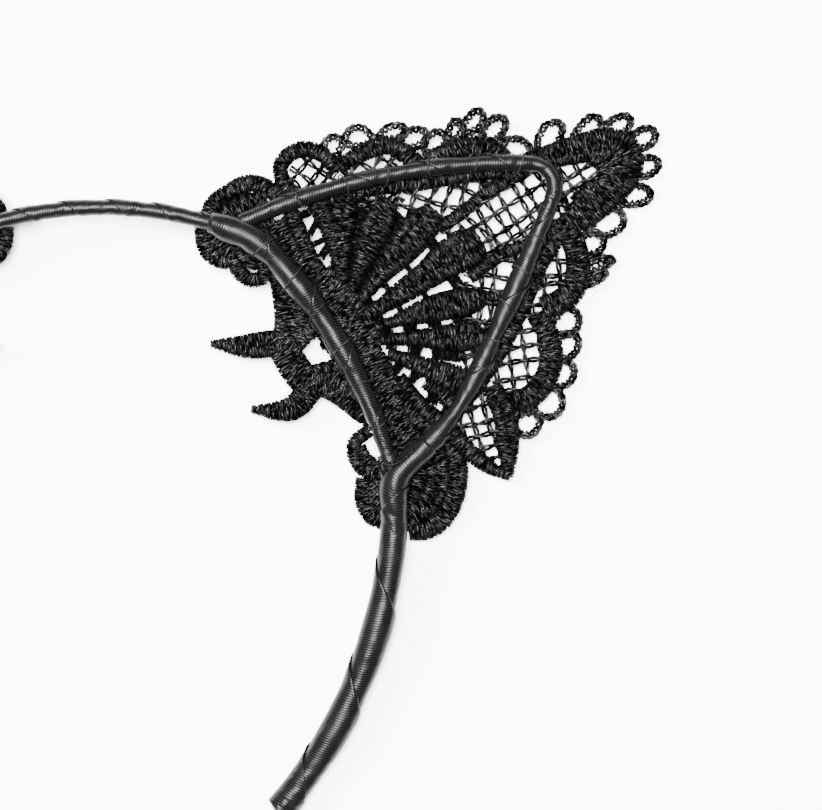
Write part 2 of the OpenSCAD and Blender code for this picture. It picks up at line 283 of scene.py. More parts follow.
# ---------------------------------------------------------------- mesh building
class Soup:
    """Vertices and faces gathered from many small closed solids, made into one mesh."""

    def __init__(self):
        self.points, self.quads, self.caps, self.uvs = [], [], [], []
        self.count = 0

    def add(self, points, quads, caps=(), uv=None):
        """Take in points with a UV each, and quads and other faces that number them from 0."""
        self.points.append(points)
        self.quads.append(quads + self.count)
        self.caps += [np.asarray(c) + self.count for c in caps]
        self.uvs.append(np.zeros((len(points), 2)) if uv is None else uv)
        self.count += len(points)

    def tubes(self, paths, radius, sides=5, closed=False):
        """Round threads along paths, an array of threads by points by 3."""
        paths = np.asarray(paths, float)
        n, m = paths.shape[:2]
        if closed:
            tangent = np.roll(paths, -1, 1) - np.roll(paths, 1, 1)
        else:
            tangent = np.gradient(paths, axis=1)
        tangent /= np.linalg.norm(tangent, axis=-1, keepdims=True) + 1e-12
        side = np.cross(tangent, [0, 0, 1.0])
        side /= np.linalg.norm(side, axis=-1, keepdims=True) + 1e-12
        up = np.cross(side, tangent)
        a = np.arange(sides) * FULL_TURN / sides + 0.3
        radius = np.broadcast_to(np.asarray(radius, float), (n, m))[..., None, None]
        ring = np.cos(a)[:, None] * side[:, :, None] + np.sin(a)[:, None] * up[:, :, None]
        points = (paths[:, :, None] + radius * ring).reshape(-1, 3)
        index = np.arange(n * m * sides).reshape(n, m, sides)
        here, there = (index, np.roll(index, -1, 1)) if closed else (index[:, :-1], index[:, 1:])
        quads = np.stack([here, np.roll(here, -1, 2), np.roll(there, -1, 2), there], -1)
        ends = [] if closed else list(index[:, 0, ::-1]) + list(index[:, -1])
        # Each thread has its own random u, and its length in mm is v
        length = np.cumsum(np.linalg.norm(np.diff(paths, axis=1, prepend=paths[:, :1]), axis=-1), 1)
        chance = np.random.default_rng(self.count).uniform(0, 400, (n, 1))
        uv = np.stack([np.broadcast_to(chance, (n, m)), length], -1).reshape(-1, 2)
        self.add(points, quads.reshape(-1, 4), ends, np.repeat(uv, sides, 0))

    def loft(self, rings, uv=None, flip=False):
        """A closed solid through rings of points, an array of rings by points by 3. flip is for
        rings that would turn its faces inward."""
        index = np.arange(rings.shape[0] * rings.shape[1]).reshape(rings.shape[:2])
        here, there = index[:-1], index[1:]
        quads = np.stack([here, np.roll(here, -1, 1), np.roll(there, -1, 1), there], -1).reshape(-1, 4)
        caps = [index[0, ::-1], index[-1]]
        if flip:
            quads = quads[:, ::-1]
            caps = [cap[::-1] for cap in caps]
        self.add(rings.reshape(-1, 3), quads, caps, uv)

    def shell(self, top, bottom, uv):
        """A thin closed solid between two grids of points of the same size."""
        n, m = top.shape[:2]
        points = np.concatenate([top.reshape(-1, 3), bottom.reshape(-1, 3)])
        a = np.arange(n * m).reshape(n, m)
        b = a + n * m
        faces = [np.stack([a[:-1, :-1], a[1:, :-1], a[1:, 1:], a[:-1, 1:]], -1).reshape(-1, 4),
                 np.stack([b[:-1, :-1], b[:-1, 1:], b[1:, 1:], b[1:, :-1]], -1).reshape(-1, 4)]
        for line, other in ((a[:, 0], b[:, 0]), (a[-1], b[-1]), (a[::-1, -1], b[::-1, -1]),
                            (a[0, ::-1], b[0, ::-1])):
            faces.append(np.stack([line[:-1], other[:-1], other[1:], line[1:]], -1))
        self.add(points, np.concatenate(faces), uv=np.concatenate([uv.reshape(-1, 2)] * 2))

    def make(self, mirror, name, to_row, material, body, slot):
        """The mesh object, its name and body given without their side. to_row puts its points in
        the row frame. mirror is None for a piece that crosses the crown."""
        name = side_name(mirror, name)
        points = to_row(np.concatenate(self.points))
        quads = np.concatenate(self.quads)
        caps = self.caps
        if mirror:
            points = points * np.array([-1, 1, 1])
            quads = quads[:, ::-1]
            caps = [c[::-1] for c in caps]
        sizes = np.concatenate([np.full(len(quads), 4), [len(c) for c in caps]]).astype(int)
        loops = np.concatenate([quads.reshape(-1)] + caps).astype(int)
        mesh = bpy.data.meshes.new(name)
        mesh.vertices.add(len(points))
        mesh.vertices.foreach_set("co", points.reshape(-1).astype(np.float32))
        mesh.loops.add(len(loops))
        mesh.loops.foreach_set("vertex_index", loops)
        mesh.polygons.add(len(sizes))
        mesh.polygons.foreach_set("loop_start", np.concatenate([[0], np.cumsum(sizes)[:-1]]))
        mesh.polygons.foreach_set("use_smooth", np.full(len(sizes), True))
        layer = mesh.uv_layers.new(name="UVMap")
        uv = np.concatenate(self.uvs)[loops]
        layer.data.foreach_set("uv", uv.reshape(-1).astype(np.float32))
        mesh.update(calc_edges=True)
        mesh.materials.append(material)
        piece = bpy.data.objects.new(name, mesh)
        bpy.context.scene.collection.objects.link(piece)
        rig.slot(piece, slot)
        if body:
            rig.ride(piece, side_name(mirror, body))
        return piece


def smooth_line(points, step):
    """A Catmull-Rom curve through rows of numbers (the first two are a place), step apart."""
    p = np.asarray(points, float)
    p = np.concatenate([[2 * p[0] - p[1]], p, [2 * p[-1] - p[-2]]])
    rows = []
    for a, b, c, d in zip(p[:-3], p[1:-2], p[2:-1], p[3:]):
        t = np.linspace(0, 1, 24, endpoint=False)[:, None]
        rows.append(0.5 * (2 * b + (c - a) * t + (2 * a - 5 * b + 4 * c - d) * t ** 2
                           + (3 * b - a - 3 * c + d) * t ** 3))
    rows = np.concatenate(rows + [p[-2:-1]])
    s = np.concatenate([[0], np.cumsum(np.linalg.norm(np.diff(rows[:, :2], axis=0), axis=1))])
    at = np.linspace(0, s[-1], max(2, int(round(s[-1] / step)) + 1))
    return np.stack([np.interp(at, s, rows[:, k]) for k in range(rows.shape[1])], -1)


def directions(line):
    """Unit directions along a line of places in a plane, and to its left."""
    way = np.gradient(line, axis=0)
    way /= np.linalg.norm(way, axis=1, keepdims=True)
    return way, np.stack([-way[:, 1], way[:, 0]], -1)


def side_name(mirror, name):
    """A name with its side, the left one if mirrored, or none if mirror is None."""
    if mirror is None:
        return name
    return ("left_" if mirror else "right_") + name


# ---------------------------------------------------------------- materials
def node_material(name, colour, roughness, specular):
    """A material and its shader. A texture that is linked to it later replaces the value here."""
    m = bpy.data.materials.new(name)
    m.use_nodes = True
    shader = m.node_tree.nodes["Principled BSDF"]
    shader.inputs["Base Color"].default_value = (*colour, 1)
    shader.inputs["Roughness"].default_value = roughness
    shader.inputs["Specular IOR Level"].default_value = specular
    return m, m.node_tree.nodes, m.node_tree.links, shader


def add_node(nodes, kind, **values):
    """A new node with some inputs set: To_Min is the value for the input To Min."""
    node = nodes.new(kind)
    for name, value in values.items():
        node.inputs[name.replace("_", " ")].default_value = value
    return node


def satin_material():
    """Black satin: fine ribs across the ribbon that catch the light, and soft cloudy gloss."""
    m, nodes, links, shader = node_material("satin_ribbon", (0.002, 0.002, 0.0022), 0.26, 0.05)
    place = nodes.new("ShaderNodeUVMap")
    ribs = add_node(nodes, "ShaderNodeTexWave", Scale=6.2, Distortion=1.6, Detail=2.0,
                    Detail_Scale=1.6)
    ribs.wave_type = "BANDS"
    ribs.bands_direction = "X"
    weave = add_node(nodes, "ShaderNodeTexWave", Scale=11.0, Distortion=1.0)
    weave.wave_type = "BANDS"
    weave.bands_direction = "Y"
    cloud = add_node(nodes, "ShaderNodeTexNoise", Scale=3.0, Detail=4.0)
    # Ribs plus a small share of the weave make the relief
    both = nodes.new("ShaderNodeMath")
    both.operation = "MULTIPLY_ADD"
    both.inputs[1].default_value = 0.3
    bump = add_node(nodes, "ShaderNodeBump", Strength=0.5, Distance=0.000035)
    gloss = add_node(nodes, "ShaderNodeMapRange", From_Min=0.3, From_Max=0.7, To_Min=0.22,
                     To_Max=0.42)
    lustre = add_node(nodes, "ShaderNodeMapRange", To_Min=0.065, To_Max=0.125)
    # The node's vector sockets share their names with its others, so they go by number
    tone = nodes.new("ShaderNodeMapRange")
    tone.data_type = "FLOAT_VECTOR"
    tone_in, tone_low, tone_high = tone.inputs[6], tone.inputs[9], tone.inputs[10]
    tone_low.default_value = (0.0008, 0.0008, 0.001)
    tone_high.default_value = (0.004, 0.004, 0.0044)
    for texture in (ribs, weave, cloud):
        links.new(place.outputs["UV"], texture.inputs["Vector"])
    links.new(weave.outputs["Fac"], both.inputs[0])
    links.new(ribs.outputs["Fac"], both.inputs[2])
    links.new(both.outputs[0], bump.inputs["Height"])
    links.new(bump.outputs["Normal"], shader.inputs["Normal"])
    links.new(cloud.outputs["Fac"], gloss.inputs["Value"])
    links.new(gloss.outputs["Result"], shader.inputs["Roughness"])
    links.new(ribs.outputs["Fac"], lustre.inputs["Value"])
    links.new(lustre.outputs["Result"], shader.inputs["Specular IOR Level"])
    links.new(ribs.outputs["Color"], tone_in)
    links.new(tone.outputs[1], shader.inputs["Base Color"])
    return m


def thread_material(name, dark, light, roughness, shine):
    """Black embroidery thread: dull, with lustrous spots where the filaments catch light."""
    m, nodes, links, shader = node_material(name, dark, roughness, 0.1)
    place = nodes.new("ShaderNodeTexCoord")
    spots = add_node(nodes, "ShaderNodeTexNoise", Scale=0.55, Detail=3.0)
    tone = nodes.new("ShaderNodeValToRGB")
    for stop, position, colour in zip(tone.color_ramp.elements, (0.42, 0.78), (dark, light)):
        stop.position = position
        stop.color = (*colour, 1)
    fibre = add_node(nodes, "ShaderNodeTexNoise", Scale=5200.0)
    bump = add_node(nodes, "ShaderNodeBump", Strength=0.7, Distance=0.00012)
    gloss = add_node(nodes, "ShaderNodeMapRange", From_Min=0.35, From_Max=0.65,
                     To_Min=roughness + 0.2, To_Max=roughness - 0.14)
    glint = add_node(nodes, "ShaderNodeMapRange", From_Min=0.45, From_Max=0.68, To_Min=0.003,
                     To_Max=shine)
    links.new(place.outputs["UV"], spots.inputs["Vector"])
    links.new(place.outputs["Object"], fibre.inputs["Vector"])
    links.new(spots.outputs["Fac"], tone.inputs["Fac"])
    links.new(tone.outputs["Color"], shader.inputs["Base Color"])
    links.new(spots.outputs["Fac"], gloss.inputs["Value"])
    links.new(gloss.outputs["Result"], shader.inputs["Roughness"])
    links.new(spots.outputs["Fac"], glint.inputs["Value"])
    links.new(glint.outputs["Result"], shader.inputs["Specular IOR Level"])
    links.new(fibre.outputs["Fac"], bump.inputs["Height"])
    links.new(bump.outputs["Normal"], shader.inputs["Normal"])
    return m


def steel_material(name, colour):
    """Drawn steel wire: bare metal whose gloss is a little uneven."""
    m, nodes, links, shader = node_material(name, colour, 0.35, 0.5)
    shader.inputs["Metallic"].default_value = 1.0
    place = nodes.new("ShaderNodeTexCoord")
    marks = add_node(nodes, "ShaderNodeTexNoise", Scale=700.0)
    gloss = add_node(nodes, "ShaderNodeMapRange", To_Min=0.25, To_Max=0.5)
    links.new(place.outputs["Object"], marks.inputs["Vector"])
    links.new(marks.outputs["Fac"], gloss.inputs["Value"])
    links.new(gloss.outputs["Result"], shader.inputs["Roughness"])
    return m


satin = satin_material()
lace_thread = thread_material("lace_thread", (0.0003, 0.0002, 0.0003), (0.005, 0.0045, 0.0055),
                              0.36, 0.27)
# The cloth under the stitches is a darker, duller copy of the thread: painted shade in the gaps between stitches and
# petals
lace_ground_painted_shade = thread_material("lace_ground_painted_shade", (0.0002, 0.0002, 0.0003), (0.001, 0.001, 0.001),
                              0.6, 0.01)
sewing_thread = thread_material("sewing_thread", (0.005, 0.005, 0.006), (0.02, 0.02, 0.02),
                                0.5, 0.12)
steel = steel_material("wire_steel", (0.42, 0.42, 0.44))
dark_steel = steel_material("annealed_wire", (0.006, 0.006, 0.007))


# ---------------------------------------------------------------- ribbon
def wind_ribbon(soup, path, s0, s1, radius, pitch, width, seed, lift, first, swell, flat=1.0,
                hand=1):
    """Ribbon wound along a path from s0 to s1. radius is a function of the length, pitch the
    length of one turn and width the ribbon's. lift is how far the near edge of each turn stands
    off on the turn before it, first the angle that the winding is turned by, and swell how far
    each turn bulges. flat presses the winding down towards the plane of the path, and hand is
    -1 for one wound the other way."""
    steps_per_turn, points_across = 60, 36
    rng = np.random.default_rng(seed)
    waves = [(rng.uniform(0.5, 2.6), rng.uniform(-0.5, 0.5), rng.uniform(0, 6.3),
              rng.uniform(0.3, 1.0)) for _ in range(7)]
    mid_r = float(np.mean(radius(np.linspace(s0, s1, 9))))
    slope = math.atan2(FULL_TURN * mid_r, pitch)
    across = width / math.sin(slope)
    angle = np.arange(-across / pitch, (s1 - s0) / pitch, 1 / steps_per_turn) * FULL_TURN
    head = s0 + pitch * angle / FULL_TURN
    # Both ends of the ribbon are cut off square to the path
    low = np.clip((s0 - head) / across, 0, 1)
    high = np.clip((s1 - head) / across, 0, 1)
    keep = high - low > 0.03
    angle, head, low, high = angle[keep], head[keep], low[keep], high[keep]
    w = low[:, None] + (high - low)[:, None] * np.linspace(0, 1, points_across)[None, :]
    s = head[:, None] + w * across
    turn = np.broadcast_to(angle[:, None] + first, w.shape)
    arc = turn * mid_r
    along = s * math.cos(slope) + arc * math.sin(slope)
    over = s * math.sin(slope) - arc * math.cos(slope)
    on_top = 1 - w
    # Crumples, pleats along the upper edge, the bulge of each turn and short sharp creases
    crumple = sum(g * np.sin(a * along + b * over + c) for a, b, c, g in waves) / 4
    pleat = sum(g * np.abs(np.sin(0.9 * a * along + c)) for a, b, c, g in waves[:4]) / 3
    edge = np.exp(-((1 - on_top) / 0.14) ** 2)
    bulge = swell * np.sin(FULL_TURN * (s - s0) / pitch + first)
    crease = np.abs(np.sin(0.8 * along / mid_r + 1.7 * crumple + 1.2 * np.sin(turn + first)))
    r = radius(s) + bulge + lift * on_top + 0.08 * crumple + 0.18 * edge * (pleat - 0.4)
    r = r - 0.1 * (1 - crease) ** 3
    middle, side = path.at(s)
    outward = np.concatenate([np.cos(turn)[..., None] * side,
                              hand * flat * np.sin(turn)[..., None]], -1)
    centre = np.concatenate([middle, np.zeros_like(s)[..., None]], -1)
    top = centre + r[..., None] * outward
    bottom = centre + (r - RIBBON_THICKNESS)[..., None] * outward
    uv = np.stack([s * math.cos(RIB_BIAS) + arc * math.sin(RIB_BIAS),
                   arc * math.cos(RIB_BIAS) - s * math.sin(RIB_BIAS)], -1) / RIBBON_UV
    soup.shell(top[:, ::-hand], bottom[:, ::-hand], uv[:, ::-hand])


def knots(*pairs):
    """The radius along a path, straight between (length, radius) pairs."""
    s, r = np.array(pairs, float).T

    def radius(at):
        return np.interp(at, s, r)
    return radius


def round_end(soup, path, s0, radius, length, seed):
    """The end of a ribbon folded over the end of a wire: a crumpled cap, closed."""
    rng = np.random.default_rng(seed)
    points_round, rings = 40, 16
    t = np.linspace(0, 1, rings)
    a = np.arange(points_round) * FULL_TURN / points_round
    s = s0 + length * np.sin(t * math.pi / 2)
    r = radius * np.sqrt(np.clip(1 - (np.sin(t * math.pi / 2)) ** 4, 0.0004, 1))
    # Past its end, the path goes straight on
    middle, side = path.at(np.minimum(s, path.length))
    way = np.stack([side[:, 1], -side[:, 0]], -1)
    middle = middle + (s - np.minimum(s, path.length))[:, None] * way
    fold = 1 + 0.05 * np.sin(3 * a + rng.uniform(0, 6)) * np.sin(math.pi * t)[:, None]
    rr = r[:, None] * fold
    flat = middle[:, None] + (rr * np.cos(a))[..., None] * side[:, None]
    points = np.concatenate([flat, (rr * np.sin(a))[..., None]], -1)
    uv = np.stack([np.repeat(s / RIBBON_UV, points_round),
                   np.tile(a * radius / RIBBON_UV, rings)], -1)
    soup.loft(points, uv, flip=True)


# Radii of the wound wires
base_r = knots((inner_root_s - 6, 1.5), (inner_root_s - 2, 2.6), (inner_root_s + 5, 2.65),
               (inner_root_s + 11, 1.95), (inner_root_s + 16, 2.5), (inner_root_s + 19, 2.5),
               (inner_root_s + 25, 1.75), (inner_root_s + 31, 2.3), (inner_root_s + 38, 1.95),
               (inner_root_s + 45, 1.6), (outer_root_s - 8, 1.3), (outer_root_s, 1.3))
arm_r = knots((outer_root_s - 4, 1.75), (outer_root_s, 2.1), (outer_root_s + 6, 2.2),
              (outer_root_s + 18, 2.55), (outer_root_s + 32, 2.8), (band.length, 2.8))
top_r = knots((0, 1.2), (3, 1.5), (9, 1.65), (18, 1.5), (tip_s, 1.45), (side_leg_s, 1.4),
              (side_leg_s + 6, 1.3))
edge_r = knots((side_leg_s - 2, 1.35), (side_leg_s + 8, 1.4), (side_leg_s + 19, 2.1),
               (side_leg_s + 27, 1.75), (side_leg_s + 31, 1.3), (side_leg_s + 37, 1.9),
               (side_leg_s + 44, 1.6), (side_leg_s + 48.5, 1.1), (side_leg_s + 55, 2),
               (side_leg_s + 60, 1.9), (ear.length, 1.15))
crotch_r = knots((0, 2.15), (4, 2.35), (7.5, 2.6), (10.5, 2.8), (14, 2.6), (19, 2.4), (26, 2.3))
bridge_r = knots((0, 1.5), (2 * inner_root_s, 1.5))


def build_base_wrap(mirror):
    """The wire between the roots, thick and softly pleated, pinched where each turn ends."""
    soup = Soup()
    wind_ribbon(soup, band, inner_root_s - 5.5, outer_root_s + 4, base_r, pitch=14, width=16,
                seed=11 + mirror, lift=0.5, first=1.9, swell=0.1)
    piece = soup.make(mirror, "base_wrap", band_to_row, satin, "half", "satin_ribbon")
    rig.replaces(piece, side_name(mirror, "base_ribbon"), side_name(mirror, "inner_root_wrap"))


def build_arm_wrap(mirror):
    """The arm, started over the outer root and wound the other way."""
    soup = Soup()
    wind_ribbon(soup, band, outer_root_s - 3.4, band.length - 1, arm_r, pitch=21.5, width=18,
                seed=21 + mirror, lift=0.5, first=2.7, swell=0.14, flat=0.9, hand=-1)
    piece = soup.make(mirror, "arm_wrap", band_to_row, satin, "half", "satin_ribbon")
    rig.replaces(piece, side_name(mirror, "arm_ribbon"))


def build_arm_tip(mirror):
    """The ribbon folded over the end of the arm."""
    soup = Soup()
    fold = 4.2
    round_end(soup, band, band.length - fold, 2.95, fold, seed=26 + mirror)
    piece = soup.make(mirror, "arm_tip", band_to_row, satin, "half", "satin_ribbon")
    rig.replaces(piece, side_name(mirror, "tip_fold"))


def build_ear_top_wrap(mirror):
    """The ribbon up the top leg of the ear and round its tip."""
    soup = Soup()
    wind_ribbon(soup, ear, 0.6, side_leg_s + 4, top_r, pitch=14.5, width=12.5,
                seed=31 + mirror, lift=0.34, first=2.4, swell=0.12, flat=0.92)
    piece = soup.make(mirror, "ear_top_wrap", from_ear, satin, "ear", "satin_ribbon")
    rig.replaces(piece, side_name(mirror, "ear_top_ribbon"))


def build_ear_side_wrap(mirror):
    """The ribbon down the side leg of the ear, to its outer root."""
    soup = Soup()
    wind_ribbon(soup, ear, side_leg_s + 2, ear.length - 0.8, edge_r, pitch=17, width=13.5,
                seed=41 + mirror, lift=0.4, first=0.4, swell=0.08, flat=0.85)
    piece = soup.make(mirror, "ear_side_wrap", from_ear, satin, "ear", "satin_ribbon")
    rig.replaces(piece, side_name(mirror, "ear_side_ribbon"))


def from_crotch(p):
    """The frame of the band, sunk below it with the leaning ear beyond the chord."""
    v = (p[:, 1] - inner_root[1]) * chord[0] - (p[:, 0] - inner_root[0]) * chord[1]
    sunk = p.copy()
    sunk[:, 2] -= math.tan(EAR_LEAN) * np.maximum(v, 0)
    return band_to_row(sunk)


def fray(soup, fold, height, seed):
    """Short loose threads across a folded edge, highest in its middle."""
    rng = np.random.default_rng(seed)
    line = smooth_line(fold, 0.15)
    t = np.linspace(-1, 1, 4)
    wisps = []
    for (x, y), f in zip(line, np.linspace(-1, 1, len(line))):
        lean = rng.normal(0.9, 0.5)
        reach = rng.uniform(0.35, 0.8)
        z = height - 0.9 * f * f + rng.uniform(-0.2, 0.1) - 0.4 * t * t
        wisps.append(np.stack([x + reach * math.cos(lean) * t,
                               y + reach * math.sin(lean) * t, z], -1))
    soup.tubes(np.array(wisps), 0.1, sides=4)


def build_crotch(mirror):
    """The ribbon that comes down the side leg, over the outer root and on to the arm."""
    start, side = ear.at(np.array([ear.length - 8]))
    start = chord_to_band(np.append(start[0], 0))[:2]
    heading = math.degrees(math.atan2(side[0, 0], side[0, 1]))
    heading -= math.degrees(math.atan2(chord[1], chord[0]))
    route = Path(start, heading, [(124, 3), (-8, -54.2), (40, 10), (100, 2)])
    soup = Soup()
    wind_ribbon(soup, route, 0, route.length, crotch_r, pitch=15, width=15.5, seed=51 + mirror,
                lift=0.45, first=2.2, swell=0.12)
    fray(soup, [(57.4, -52.6), (60, -52.9), (62.3, -51.6), (64, -50.2)], 3.45, seed=71 + mirror)
    piece = soup.make(mirror, "crotch_wrap", from_crotch, satin, None, "satin_ribbon")
    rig.replaces(piece, side_name(mirror, "outer_root_wrap"))
    sign = np.array([-1 if mirror else 1, 1, 1])
    ends = from_base(np.array([[57.0, 0.5, 0], [57.0, 7, 0]])) * sign
    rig.blend(piece, side_name(mirror, "half"), side_name(mirror, "ear"), start=ends[0], end=ends[1])


def blend_at_crown(piece):
    """Bend a piece between the halves of the band, over 5 mm on each side of the crown."""
    right, left = band_to_row(np.array([[5.0, 0, 0], [-5.0, 0, 0]]))
    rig.blend(piece, "right_half", "left_half", start=right, end=left)


def build_bridge():
    """The ribbon over the crown, from the left inner root to the right."""
    radius, turn = BAND_ARCS[0]
    crown = Path(inner_root * [-1, 1], -turn, [(radius, 2 * turn)])
    soup = Soup()
    wind_ribbon(soup, crown, 1.5, crown.length - 1.5, bridge_r, pitch=9.5, width=9, seed=5,
                lift=0.3, first=0.8, swell=0.06)
    piece = soup.make(None, "bridge_wrap", band_to_row, satin, None, "satin_ribbon")
    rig.replaces(piece, "right_bridge_ribbon", "left_bridge_ribbon")
    blend_at_crown(piece)


def build_core():
    """The spring wire inside the band, in one length from end to end."""
    soup = Soup()
    middle = band.at(np.arange(0, band.length - 1, 0.8))[0]
    line = np.concatenate([middle[::-1] * [-1, 1], middle[1:]])
    soup.tubes([np.concatenate([line, np.zeros((len(line), 1))], 1)], CORE_D / 2, sides=16)
    piece = soup.make(None, "steel_core", band_to_row, steel, None, "spring_steel")
    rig.replaces(piece, "band_core")
    blend_at_crown(piece)


# ---------------------------------------------------------------- sewing and ear wire
def sew(soup, path, spots, girth, depth, flat, seed):
    """Loops of thread round a wound wire, reaching down to the lace that they hold."""
    rng = np.random.default_rng(seed)
    points_round = 24
    a = np.arange(points_round) * FULL_TURN / points_round
    for s in spots:
        r = float(girth(s)) + 0.62
        at = s + 0.7 * np.sin(a + rng.uniform(0, 6))
        middle, side = path.at(at)
        z = np.where(a < math.pi, flat * r, depth) * np.sin(a)
        points = np.concatenate([middle + (r * np.cos(a))[:, None] * side, z[:, None]], 1)
        soup.tubes([points], 0.15, sides=6, closed=True)


def build_base_sewing(mirror):
    """Loops between the roots, the first of them clear of the ear's own ribbon."""
    soup = Soup()
    spots = np.linspace(inner_root_s + 7, outer_root_s - 10, 6)
    sew(soup, band, spots, base_r, depth=3.9, flat=1, seed=61 + mirror)
    piece = soup.make(mirror, "base_sewing", band_to_row, sewing_thread, "half", "sewing_thread")
    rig.replaces(piece, side_name(mirror, "base_stitches"))


def build_ear_sewing(mirror):
    """Loops along the two legs of the ear."""
    soup = Soup()
    sew(soup, ear, np.linspace(14, tip_s - 2.4, 6), top_r, depth=2.9, flat=0.92,
        seed=63 + mirror)
    sew(soup, ear, np.linspace(side_leg_s + 2.5, ear.ends[2] - 2.5, 6), edge_r, depth=2.9,
        flat=0.85, seed=65 + mirror)
    piece = soup.make(mirror, "ear_sewing", from_ear, sewing_thread, "ear", "sewing_thread")
    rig.replaces(piece, side_name(mirror, "ear_stitches"))


def darken_ear_wire(mirror):
    """The CAD's own ear wire stays, in dark steel, since only its ends could ever show."""
    wire = frame["nodes"][side_name(mirror, "ear_wire")]
    wire.data.materials.clear()
    wire.data.materials.append(dark_steel)


for mirror in (False, True):
    build_base_wrap(mirror)
    build_arm_wrap(mirror)
    build_arm_tip(mirror)
    build_ear_top_wrap(mirror)
    build_ear_side_wrap(mirror)
    build_crotch(mirror)
build_bridge()
build_core()
for mirror in (False, True):
    build_base_sewing(mirror)
    build_ear_sewing(mirror)
    darken_ear_wire(mirror)


# ---------------------------------------------------------------- lace
# The lace is drawn in mm on the chord of an ear: u from its inner root, v out to its tip.
# A band of satin stitch is a line of (u, v, half width).
# LACE_TURN turns all of it a little, to lie along the chord.
LACE_TURN = math.radians(-0.39)
# Borders round the edge, shells at both roots, the stems of the horned motif, strips under the
# band, petals, what fills the gaps between them, and branches from the petals to the borders
LOBE_BORDERS = [
    [(1, 24.5, 1.5), (-3, 24.2, 1.6), (-6.5, 21.5, 1.6), (-7.3, 18, 1.6), (-6, 15, 1.5),
     (-2.5, 13.8, 1.4), (1, 14.5, 1.4)],
    [(0.3, 26, 1.5), (0.6, 31, 1.7), (1.5, 35.5, 1.8), (4.5, 38, 1.9), (9, 39.5, 1.8)],
    [(9.3, 41.5, 1.9), (10.2, 47, 1.9), (11.8, 51.5, 2), (15.3, 54.4, 2), (20, 56, 1.9)],
    [(21, 58, 2.1), (22.3, 64, 2.5), (24.3, 70, 3), (26.3, 75, 3.4), (29.5, 77.3, 3.6), (33, 75.3, 3.6),
     (35, 70, 3.6), (35.8, 64, 3.4), (36.5, 59, 2.6)],
    [(27, 71.6, 2.2), (30, 73, 2.4), (33.5, 71, 2.2)],
    [(32.6, 69, 1.8), (33.2, 63, 1.6)],
    [(35.5, 58.5, 2.3), (41, 57.8, 2.4), (45, 56, 2.5), (47.9, 53, 2.5), (48.8, 49.5, 2.5),
     (48, 45.5, 2.4)],
    [(48.5, 43.6, 2.2), (54, 43, 2.3), (58.5, 40.5, 2.4), (61.3, 36.5, 2.4), (62, 32.5, 2.4),
     (61, 28.5, 2.3)],
    [(56, 27.5, 2), (63, 26.2, 2.4), (68, 23.6, 2.3), (73.4, 20.3, 0.9)],
    [(73.6, 20.3, 0.8), (69, 17.6, 1.5), (64, 16, 1.7), (58, 15, 1.8)],
]
SHELLS = [
    [(0.5, 12, 1.7), (-4, 10.5, 1.7), (-7, 7.5, 1.7), (-7.5, 3, 1.7), (-7.3, -1, 1.6),
     (-5.5, -3.8, 1.4)],
    [(-2.5, 9, 1.9), (-3.9, 4, 1.9), (-4, -1, 2)],
    [(1.5, 8, 2.4), (0, 3, 2.6), (-0.5, -3, 2.4)],
    [(-4.5, -5.6, 1.4), (-1.5, -7, 1.6), (1.5, -7.1, 1.6), (4, -5.6, 1.5), (4.6, -4.2, 1.2)],
    [(-3, -4.2, 1.8), (0.5, -4.6, 1.9), (3.5, -3.2, 1.8)],
    [(4.5, -3.8, 1.4), (7.5, -4.1, 1.5), (10.2, -3, 1.5), (11.3, -0.6, 1.3)],
    [(4, 1, 2.2), (8, 3.4, 2), (13, 3.4, 2)],
    [(3, -1.5, 1.7), (6, -1.8, 1.4)],
    [(61, 13.5, 1.7), (66, 12.5, 2), (70.5, 9, 2), (73.3, 4.5, 2), (73.8, 0, 2), (72, -3.5, 1.8)],
    [(60, 10, 2.4), (65.5, 8, 2.6), (69, 3.5, 2.6), (69.5, -1.5, 2.5), (69.6, -3.6, 2.2)],
    [(57, 6, 2.6), (61.5, 4.5, 2.8), (65, 0.5, 2.8), (65.8, -4.5, 2.4)],
    [(57, 1, 2.2), (60, -1, 2.6), (61.8, -5, 2.2)],
    [(57.6, -5.8, 1.4), (61, -8, 1.7), (65, -8.4, 1.8), (67.8, -6.6, 1.7)],
    [(49.8, 0.5, 1.3), (50.2, -3, 1.4), (52.5, -4.7, 1.4), (55.5, -4.7, 1.5), (58, -3.5, 1.6)],
    [(51, 3.6, 1.5), (57.4, 2.9, 1.9)],
    [(51.8, -2.6, 1.1), (54.2, -2.9, 1.2), (57, -2.4, 1.6)],
    [(59.6, -5, 1.9), (63.5, -5.4, 2.2), (67, -4.4, 1.9)],
    [(5.4, 0.6, 1.6), (8, -1.8, 1.3)],
    [(7, 2.4, 1.6), (11.6, -0.4, 1.3)],
]
STEMS = [
    [(12, 2.8, 2), (15, 1.6, 2.2), (19, 0.2, 2.6), (22.3, -1.6, 2.8), (24.6, -4, 2.6)],
    [(17, 4.4, 2.2), (22.3, 2.8, 2.7), (26, -0.2, 2.4)],
    [(50, 3.2, 1.8), (46, 1.8, 2.3), (41, 0.4, 2.6), (37.4, -1.4, 2.6), (35.2, -4, 2.5)],
    [(45, 4.4, 2.2), (39.6, 3.2, 2.9), (34.4, 0.6, 2.4)],
    [(25.2, 3, 1.6), (26.4, -2.4, 1.9)],
    [(34.8, 2.8, 1.4), (33.8, -2, 1.8)],
    [(29.9, 3.8, 1.3), (29.9, 1.8, 0.6)],
    [(23.5, -4.8, 2.9), (30, -5.2, 3.2), (36.5, -4.8, 2.9)],
    [(24.2, -5, 2.6), (22.4, -9, 2.7), (20.4, -12.5, 2.1), (17, -16.9, 0.6)],
    [(36, -5, 2.6), (37.2, -9, 2.6), (36.4, -12.5, 2.1), (33, -17.2, 0.7)],
]
